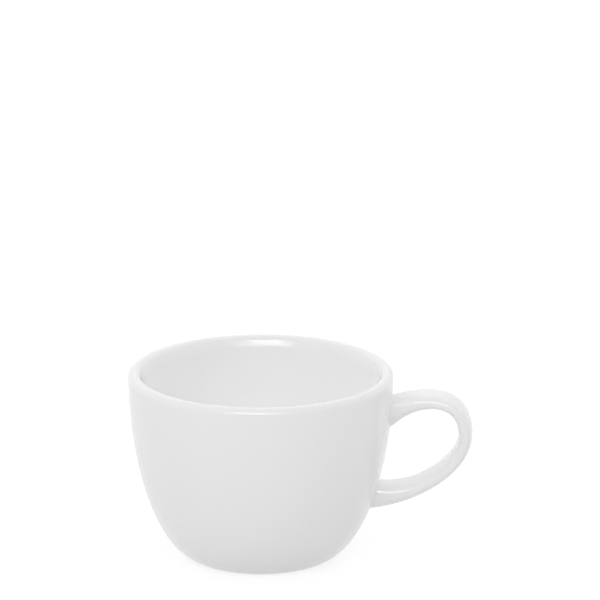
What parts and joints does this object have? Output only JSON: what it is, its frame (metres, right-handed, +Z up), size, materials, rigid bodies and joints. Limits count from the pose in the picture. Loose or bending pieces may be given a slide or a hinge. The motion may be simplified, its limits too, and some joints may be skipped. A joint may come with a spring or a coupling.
{
  "type": "espresso cup",
  "caption": "Small thick-walled porcelain cup with a rounded belly, rolled lip, foot ring and an ear-shaped handle, for serving espresso.",
  "frame": {"origin": "on the table under the middle of the overall length, so the bowl's axis stands 9.9 mm towards -X", "axes": "+X points from the bowl to the handle, +Z points up out of the mouth, and +Y makes the frame right-handed"},
  "size_m": [0.0858, 0.066, 0.0474],
  "materials": {
    "body_glaze": "glossy white glaze, with the contact band of the foot ring left bare",
    "handle_glaze": "glossy white glaze",
    "joint_slip": "fired slip under the same white glaze, which pools a little in the crease"
  },
  "bodies": {
    "root": {"cup_body": "body_glaze", "handle": "handle_glaze", "upper_joint_slip": "joint_slip", "lower_joint_slip": "joint_slip"}
  },
  "joints": []
}
